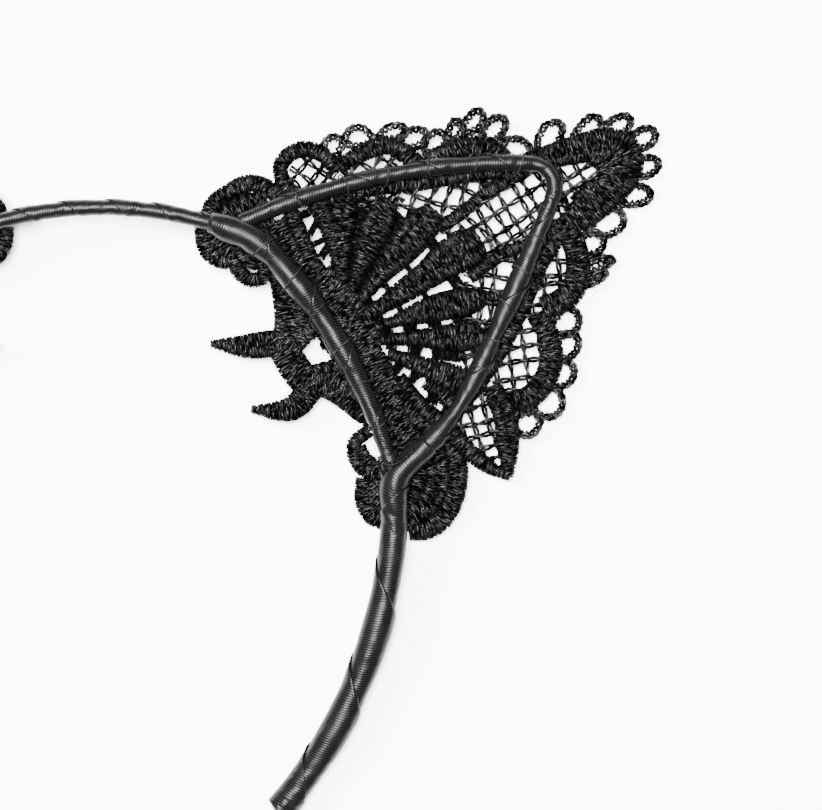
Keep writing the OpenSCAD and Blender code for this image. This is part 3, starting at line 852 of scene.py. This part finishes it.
BASE_STRIPS = [
    [(1, 12, 1.5), (6, 11.4, 1.6), (14, 10, 1.7), (24, 10, 2.4), (36, 10, 2.4), (48, 10.4, 2.2),
     (58, 12.2, 2)],
    [(3, 8, 2.2), (10, 6.9, 2.6), (18, 6.6, 2.6), (30, 6.4, 2.8), (42, 6.6, 2.7), (53, 6.8, 2.7),
     (59, 6.9, 2.6)],
    [(24, 4, 1.8), (30, 4.2, 1.9), (36, 4, 1.8)],
    [(24, 13.2, 1.4), (30, 13.4, 1.4), (36, 12.8, 1.3)],
    [(17, 11.6, 1.1), (20, 12.3, 1.5), (26, 13, 1.6)],
]
PETALS = [
    [(29.3, 13, 1.4), (29.4, 18, 1.7), (29.3, 23, 2.4), (29.1, 28.5, 2.9), (28.7, 33, 3.6),
     (28.8, 38, 4.2), (29, 41.8, 3.2)],
    [(26.4, 13.5, 1.1), (24.6, 18, 1.6), (23, 23, 2.6), (21.2, 29, 3.6), (19.8, 34, 3.5),
     (19, 37, 2.4)],
    [(23.4, 13.5, 1.2), (19.4, 18.8, 2.1), (15.8, 24, 3.2), (13.4, 28, 3), (12.6, 30.4, 2)],
    [(20.4, 13.3, 1.3), (14, 17.2, 2.2), (9.4, 20.6, 2.9), (6.6, 23.4, 2.2)],
    [(17, 14.2, 0.8), (10, 16.7, 1.9), (4.2, 17.9, 2.4)],
    [(32.6, 14, 0.9), (33.6, 18, 1.25), (34.7, 22.5, 2.2), (36.2, 27.5, 2.9), (38, 32, 2.9),
     (39, 35.4, 2.2)],
    [(35.4, 13.6, 1), (38.3, 18.5, 1.5), (41, 23, 2.3), (43.7, 27.5, 3), (45.4, 31.4, 2.5)],
    [(38.6, 13.2, 1), (43.5, 16.8, 1.8), (48.5, 20.3, 2.7), (52.4, 23.8, 2.8)],
    [(44, 12.4, 1.2), (51, 12.8, 1.6), (57, 14.6, 1.8)],
    [(48, 16.2, 1.1), (53, 18.4, 1.8), (57, 20, 2)],
]
FILLERS = [
    [(25.2, 14, 1), (21.9, 19, 1.5), (18.8, 25, 1.9), (16.4, 31, 2.2)],
    [(21.8, 14, 1), (16.6, 18.8, 1.4), (12, 23, 1.8), (9, 26.4, 1.6)],
    [(18.6, 13.8, 0.9), (12, 17.4, 1.3), (6, 20.8, 1.7)],
    [(33.6, 14.4, 0.8), (34.4, 16.2, 1)],
    [(35.8, 18.7, 1), (36.6, 20.8, 1.1)],
    [(37.5, 23.5, 1.1), (38.3, 25.8, 1.2)],
    [(39.5, 28.6, 1.3), (40.8, 32, 1.3)],
    [(36.8, 14, 1), (38.2, 15.3, 0.9)],
    [(40.2, 17.3, 1), (41.7, 18.9, 1)],
    [(43.4, 20.9, 1.2), (46.6, 25.2, 1.5)],
    [(48.2, 27.6, 1.2), (49.6, 30.6, 1.3)],
    [(41.2, 12.7, 0.9), (42.6, 13.2, 0.8)],
    [(44.8, 14.4, 0.9), (46.2, 15, 0.9)],
    [(50.4, 15.2, 0.9), (52.2, 16.2, 1)],
    [(54.4, 16.2, 1.2), (57, 17.2, 1.4)],
    [(25.2, 20.2, 0.5), (27.8, 20.2, 0.5)],
    [(24.6, 26.2, 0.5), (27.2, 26.2, 0.5)],
    [(30, 20.1, 0.5), (32.9, 20.1, 0.5)],
    [(30.4, 26, 0.5), (33.9, 26, 0.5)],
    [(25, 15.2, 1), (28, 15.4, 1)],
    [(30, 15.2, 1), (33, 15.2, 1)],
    [(24, 33, 1.2), (26.5, 33.5, 1.2)],
    [(31.5, 32.8, 1.2), (35.5, 33, 1.2)],
    [(16.2, 13.9, 0.9), (18, 14, 1)],
    [(8.8, 12.9, 0.6), (7.4, 15.4, 0.6)],
    [(14, 12.2, 0.8), (13, 14.8, 0.8)],
    [(8, 26.4, 1.4), (6.6, 29.4, 1.4)],
    [(4.4, 12.4, 0.8), (5, 15.6, 0.8)],
    [(10.9, 11.4, 0.5), (11.4, 15, 0.5)],
]
BRANCHES = [
    [(22.3, 36, 1.3), (22, 43, 1.3), (21.3, 50, 1.4), (21.6, 58, 1.6)],
    [(34.4, 36, 1.3), (34, 43, 1.2), (34.8, 50, 1.4), (36.3, 58, 1.7)],
    [(4, 18, 1.6), (8, 29, 1.5), (11.5, 36, 1.5), (14.5, 43, 1.5), (17, 49, 1.5), (21, 57, 1.6)],
    [(36.5, 58, 1.5), (40, 50, 1.6), (45, 42.5, 1.6), (49.5, 35, 1.6), (53, 27.5, 1.7), (55.5, 20, 1.8),
     (58, 12.5, 1.8)],
    [(38.6, 33, 1.2), (40.6, 38.5, 1.2), (43.4, 44, 1.3)],
    [(45.8, 31, 1.2), (48.4, 35.5, 1.3)],
]
# Outlines of the windows that are filled with net, with the angle and the spacing of its threads
NETS = [
    (15, 2.9, [(-5.5, 15), (-6, 21), (-2, 23.5), (2.5, 24), (4.5, 18), (3, 15), (-2, 14.3)]),
    (25, 3.1, [(1, 25), (1.5, 34), (4, 37.5), (9, 39), (11, 36), (8, 28), (5, 22)]),
    (20, 2.8, [(10.5, 41), (11.5, 49), (14.5, 53), (19, 55), (16, 47), (13.5, 40.5)]),
    (40, 3.2, [(11, 31), (14, 42), (19, 52), (22, 54), (22.5, 42), (22, 32), (16, 28)]),
    (0, 2.8, [(22.5, 36), (22, 58), (24, 61), (35, 61), (36, 55), (34.5, 40), (34, 35)]),
    (-40, 3.2, [(34.5, 32), (34.5, 44), (36.5, 56), (41, 48), (46, 40), (47, 30), (40, 30)]),
    (0, 2.7, [(24, 60), (24.5, 68), (27, 74), (32, 74), (34, 66), (34.5, 60)]),
    (-30, 2.9, [(44, 44), (39, 54), (42, 57), (47, 54), (49.5, 48), (49, 40)]),
    (-25, 3.1, [(52, 29), (48, 38), (49.5, 43), (55, 43), (60, 38), (61.5, 30), (58, 27)]),
    (-15, 2.9, [(55.5, 18), (53.5, 26), (58, 27.5), (63, 26.5), (71, 21.5), (69, 17.5), (62, 15.5)]),
    (-20, 3.2, [(44, 26), (42, 33), (46, 38), (51, 33), (54, 26), (52, 22)]),
    (20, 3.2, [(6, 22), (8, 30), (12, 37), (14, 30), (10, 24)]),
]
# Picot loops round the edge, each the points that its thread goes through
PICOTS = [
    [(-1.8, 26), (-3.5, 28.6), (-5.4, 27.4), (-5, 25.2), (-3, 24.6)],
    [(-1, 34.5), (-3.5, 33.8), (-4.6, 32), (-4, 30.3), (-2.5, 29.8), (-1, 31.5), (-0.5, 33.5)],
    [(-0.8, 36.5), (-1, 38.5), (0, 40.5), (1.3, 40.8), (2, 39.5), (1, 37), (0.3, 35.8)],
    [(2, 40), (2, 42), (3.5, 44), (5, 43.5), (5.3, 41.5), (4.5, 39.5), (3, 39.2)],
    [(5, 44.5), (5.2, 46.3), (6.5, 47.2), (8, 46.7), (8.3, 44.5), (7.5, 42.6), (6, 43)],
    [(5.2, 50.5), (6, 51.5), (7.5, 51), (8.4, 49.5), (7.8, 48), (6.2, 48.8)],
    [(5.8, 55), (6.5, 56.3), (8, 56), (9, 54.5), (8.5, 52), (6.8, 52.2)],
    [(9.2, 58), (10.3, 59.5), (11.8, 59), (12.8, 57), (12.5, 55), (10.5, 54.6), (9.5, 56)],
    [(14.6, 58), (15.8, 60), (18, 60.7), (19.3, 59.5), (18.5, 57), (17.5, 55.9), (15.5, 56)],
    [(16.4, 66), (17, 68.3), (18.5, 68.8), (19.8, 67.5), (20.8, 65.5), (20.1, 63), (18, 63.5)],
    [(19.8, 75), (21, 76.3), (22.5, 75.8), (23.4, 74), (22.8, 71.5), (21.3, 70.5), (20.3, 72.5)],
    [(22.8, 79), (23.5, 81.2), (25, 81.5), (26, 80), (25.8, 77.3), (24.6, 75.6), (23.2, 76.5)],
    [(28, 80), (27.8, 82.5), (28.8, 84.3), (30.3, 84.3), (31.2, 82.8), (30.8, 80.3), (29.5, 79.4)],
    [(32.8, 78.5), (33.5, 80.8), (35, 81.8), (36.2, 81), (36.3, 78.5), (35, 76.6), (33.6, 77)],
    [(36.3, 74.3), (37.8, 76.3), (39.5, 77), (40.6, 75.8), (40, 73.3), (38.3, 71.2), (37, 72)],
    [(38.5, 68.5), (40, 69.5), (42, 68.8), (42.5, 66.5), (41.8, 64.2), (40, 63.3), (38.4, 65)],
    [(40, 61), (40.8, 63), (42.5, 63.5), (44, 62), (43.8, 60), (42.3, 58.5), (40.6, 58.8)],
    [(45, 58), (46.2, 61.8), (47.5, 62.5), (47.5, 60), (46.8, 57)],
    [(47.5, 56.5), (48.5, 60), (49.3, 59), (49, 56)],
    [(50.6, 48.5), (51.5, 50), (53.5, 50.3), (55, 49), (55.2, 47), (54, 45), (52, 45)],
    [(54.8, 45.6), (56, 47.5), (58, 47.3), (59.2, 45.5), (58.8, 43.1), (57, 41.9), (55.6, 43)],
    [(59, 41.6), (60.5, 43.5), (62.5, 43.3), (63.7, 41.5), (63.2, 39.1), (61.5, 37.9), (60, 39)],
    [(62.5, 37), (64, 38.3), (66.3, 38), (67.7, 36.3), (67.3, 34.1), (65.3, 32.7), (63.6, 33.8)],
    [(64.9, 31.5), (67, 32), (68.5, 30), (68, 28), (66, 27.1), (64.2, 28.6)],
]


def from_lace(p):
    """Points of the lace, their height measured from the middle of the cloth, in the row frame."""
    u = p[:, 0] * math.cos(LACE_TURN) - p[:, 1] * math.sin(LACE_TURN)
    v = p[:, 0] * math.sin(LACE_TURN) + p[:, 1] * math.cos(LACE_TURN)
    share = np.clip((v - LACE_BEND[0]) / (LACE_BEND[1] - LACE_BEND[0]), 0, 1)[:, None]
    share = share * share * (3 - 2 * share)
    # Well away from the band the cloth is slightly wavy
    wave = 0.16 * np.sin(u / 4.1 + v / 6.3) * np.clip((v - 16) / 30, 0, 1)
    z = p[:, 2] + wave
    low = chord_to_band(np.stack([u, v, z + BASE_LACE_Z], -1))
    high = chord_to_band(np.stack([u, v, z + EAR_LACE_Z], -1), EAR_LEAN)
    return band_to_row(low * (1 - share) + high * share)


def lens(soup, line):
    """A flat closed band of cloth under the stitches of one line, thin at its edges."""
    line = smooth_line(line, 0.9)
    p, half = line[:, :2], line[:, 2] * 0.9
    normal = directions(p)[1]
    across = np.array([-1, -0.7, 0.7, 1, 0.7, -0.7])
    height = np.array([0, 0.17, 0.17, 0, -0.17, -0.17])
    flat = p[:, None] + (across * half[:, None])[..., None] * normal[:, None]
    upright = np.broadcast_to(height, flat.shape[:2])[..., None]
    soup.loft(np.concatenate([flat, upright], -1))


# Face, distance between rows and greatest extra height of each layer of satin stitch
STITCH_LAYERS = ((1, 0.38, 0.0), (1, 0.5, 0.12), (-1, 0.6, 0.0))
STITCH_LENGTH = 2.6


def satin_stitches(soup, line, seed, rise, dome_height):
    """Thread laid to and fro across a band in short staggered stitches, on both of its faces.
    rise lifts the band above the cloth, and its middle stands dome_height above its edges."""
    rng = np.random.default_rng(seed)
    t = np.linspace(0, 1, 5)
    paths, radii = [], []
    for face, step, offset in STITCH_LAYERS:
        rows = smooth_line(line, step)
        for here, along, h in zip(rows[:, :2], directions(rows[:, :2])[0], rows[:, 2]):
            normal = np.array([-along[1], along[0]])
            count = max(1, int(round(h * 2 / STITCH_LENGTH + rng.uniform(-0.45, 0.45))))
            cuts = np.linspace(-1, 1, count + 1)
            cuts[1:-1] += rng.uniform(-0.35, 0.35, count - 1) * 2 / count
            for a, b in zip(cuts[:-1], cuts[1:]):
                a = a - rng.uniform(0.0, 0.14) / h
                b = b + rng.uniform(0.0, 0.14) / h
                w = (a + (b - a) * t) * h
                slant = rng.normal(0, 0.2) * h * (b - a) * (t - 0.5) + rng.normal(0, 0.12)
                dome = dome_height * (1 - np.clip(w / (h + 0.3), -1, 1) ** 2)
                arch = 0.2 * (1 - (2 * t - 1) ** 4) - 0.14
                z = face * (0.14 + dome + arch + offset * rng.uniform(0.3, 1))
                z = z + rise * (face > 0)
                paths.append(np.concatenate([here + w[:, None] * normal + slant[:, None] * along,
                                             z[:, None]], 1))
                radii.append(rng.uniform(0.15, 0.25))
    soup.tubes(np.array(paths), np.array(radii)[:, None], sides=4)


def hatch(outline, angle, gap):
    """Parallel lines inside an outline, each as its two ends."""
    a = math.radians(angle)
    way, over = np.array([math.cos(a), math.sin(a)]), np.array([-math.sin(a), math.cos(a)])
    p = np.array(outline, float)
    q = np.roll(p, -1, 0)
    reach = p @ over
    for level in np.arange(reach.min() + gap * 0.6, reach.max(), gap):
        hits = []
        for m, n in zip(p, q):
            g, h = m @ over - level, n @ over - level
            if g * h < 0:
                hits.append((m + (n - m) * g / (g - h)) @ way)
        for x, y in zip(sorted(hits)[::2], sorted(hits)[1::2]):
            if y - x > 1:
                yield level * over + x * way, level * over + y * way


def twisted_thread(soup, line, phase, z):
    """Two threads twisted round each other along a line, at a height z."""
    step, twist, offset, radius = 0.42, 7.5, 0.37, 0.32
    line = smooth_line(line, step)
    normal = directions(line)[1]
    turn = phase + np.arange(len(line)) * step * FULL_TURN / twist
    strands = []
    for start in (0, math.pi):
        flat = line + (offset * np.cos(turn + start))[:, None] * normal
        strands.append(np.concatenate([flat, (z + offset * 0.6 * np.sin(turn + start))[:, None]], 1))
    soup.tubes(np.array(strands), radius, sides=4)


def net(soup, angle, gap, outline, seed):
    """Twisted threads across an outline one way, and over them the other way."""
    rng = np.random.default_rng(seed)
    for turn, z in ((0, -0.12), (90, 0.12)):
        for a, b in hatch(outline, angle + turn, gap):
            a, b = a + rng.normal(0, 0.34, 2), b + rng.normal(0, 0.34, 2)
            middle = (a + b) / 2 + rng.normal(0, 0.42, 2)
            twisted_thread(soup, [a, middle, b], rng.uniform(0, 6), z)


def picot(soup, loop, seed):
    """A loop of chain stitch: a smooth thread inside and one that bulges out between stitches."""
    step, stitch, growth = 0.34, 1.25, 1.22
    rng = np.random.default_rng(seed)
    p = np.array(loop + loop[:1], float)
    p = p.mean(0) + growth * (p - p.mean(0))
    line = smooth_line(p, step)[:-1]
    way = np.roll(line, -1, 0) - np.roll(line, 1, 0)
    way /= np.linalg.norm(way, axis=1, keepdims=True)
    normal = np.stack([-way[:, 1], way[:, 0]], -1)
    out = line - line.mean(0)
    normal *= np.sign((normal * out).sum(1).mean())
    n = len(line)
    bumps = max(5, int(round(n * step / stitch)))
    turn = np.arange(n) / n * FULL_TURN * bumps + rng.uniform(0, 6)
    for lift, swing, z, radius in ((0.2, 0.12, 0.0, 0.42), (-0.62, 0.46, 0.1, 0.34)):
        flat = line + (lift + swing * np.sin(turn))[:, None] * normal + rng.normal(0, 0.03, line.shape)
        soup.tubes([np.concatenate([flat, (z + 0.08 * np.cos(turn))[:, None]], 1)], radius, sides=5,
                   closed=True)


def build_lace(mirror):
    """The lace of one side: its cloth, and the threads in three pieces that move with it."""
    cloth, rim, heart, nets = Soup(), Soup(), Soup(), Soup()
    seed = 100 + 500 * mirror
    for lines, threads, rise, dome_height in ((LOBE_BORDERS, rim, 0.05, 0.42), (SHELLS, rim, 0, 0.25),
                                              (STEMS, nets, 0, 0.2), (BASE_STRIPS, heart, -0.05, 0.1),
                                              (PETALS, heart, 0.1, 0.6), (FILLERS, heart, -0.3, 0),
                                              (BRANCHES, nets, 0, 0.2)):
        for line in lines:
            seed += 1
            lens(cloth, line)
            satin_stitches(threads, line, seed, rise, dome_height)
    for angle, gap, outline in NETS:
        seed += 1
        net(nets, angle, gap, outline, seed)
    for loop in PICOTS:
        seed += 1
        picot(rim, loop, seed)
    # The cloth takes the darker ground, which is painted shade where it shows between the stitches
    parts = ((cloth, "lace_cloth", lace_ground_painted_shade), (rim, "lace_rim", lace_thread),
             (heart, "lace_heart", lace_thread), (nets, "lace_net", lace_thread))
    pieces = [soup.make(mirror, name, from_lace, look, None, "lace") for soup, name, look in parts]
    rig.replaces(pieces[0], side_name(mirror, "base_lace"), side_name(mirror, "ear_lace"))
    sign = np.array([-1 if mirror else 1, 1, 1])
    start, end = from_lace(np.array([[30.0, v, 0] for v in LACE_BEND])) * sign
    for piece in pieces:
        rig.blend(piece, side_name(mirror, "half"), side_name(mirror, "ear"), start=start, end=end)
    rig.sheet(pieces[0], flat=(0.084, 0.1), held="stretched", area=0.0038,
             rests_on=[side_name(mirror, "base_wrap"), side_name(mirror, "ear_top_wrap")],
             with_pieces=pieces[1:])


for mirror in (False, True):
    build_lace(mirror)

# ---------------------------------------------------------------- camera, floor and light
# In metres. PHOTO_WIDTH is what the picture takes in, CAMERA_HEIGHT from the wires up.
PHOTO_WIDTH = 0.1702
CAMERA_HEIGHT = 0.62
WIRE_HEIGHT = 0.006
FLOOR_REACH = 3
FLOOR_GAP = 0.0002
LIGHT_TARGET = Vector((0.05, 0, 0))
SENSOR_WIDTH_MM = 36

photo_centre = band_to_row([63.6, -40.8, 0])
camera_data = bpy.data.cameras.new("camera")
camera_data.sensor_width = SENSOR_WIDTH_MM
camera_data.lens = SENSOR_WIDTH_MM * CAMERA_HEIGHT / PHOTO_WIDTH
camera = bpy.data.objects.new("camera", camera_data)
camera.location = (photo_centre[0], photo_centre[1], WIRE_HEIGHT + CAMERA_HEIGHT)
bpy.context.scene.collection.objects.link(camera)
bpy.context.scene.camera = camera

floor_mesh = bpy.data.meshes.new("floor")
corners = [(x * FLOOR_REACH, y * FLOOR_REACH, 0) for x, y in ((-1, -1), (1, -1), (1, 1), (-1, 1))]
floor_mesh.from_pydata(corners, [], [(0, 1, 2, 3)])
floor = bpy.data.objects.new("floor", floor_mesh)
floor.location.z = -FLOOR_GAP
bpy.context.scene.collection.objects.link(floor)
floor_mesh.materials.append(node_material("paper", (0.97, 0.968, 0.965), 0.8, 0.1)[0])
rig.stage(floor)


def area_light(name, place, size, power, seen_in_gloss=True):
    """A square soft light that faces the right half of the headband."""
    data = bpy.data.lights.new(name, "AREA")
    data.shape = "SQUARE"
    data.size = size
    data.energy = power
    light = bpy.data.objects.new(name, data)
    light.location = place
    light.visible_glossy = seen_in_gloss
    light.rotation_euler = (LIGHT_TARGET - Vector(place)).to_track_quat("-Z", "Y").to_euler()
    bpy.context.scene.collection.objects.link(light)


area_light("top", (-0.03, 0.12, 1.15), 0.5, 128)
area_light("side", (-0.9, 0.45, 0.8), 0.4, 85, seen_in_gloss=False)
world = bpy.data.worlds.new("studio")
world.use_nodes = True
world.node_tree.nodes["Background"].inputs["Color"].default_value = (1, 1, 1, 1)
world.node_tree.nodes["Background"].inputs["Strength"].default_value = 0.12
bpy.context.scene.world = world

low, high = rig.bounds()
json.dump({"cad": [list(cad_low), list(cad_high)], "visual": [list(low), list(high)]},
          open("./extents.json", "w"))
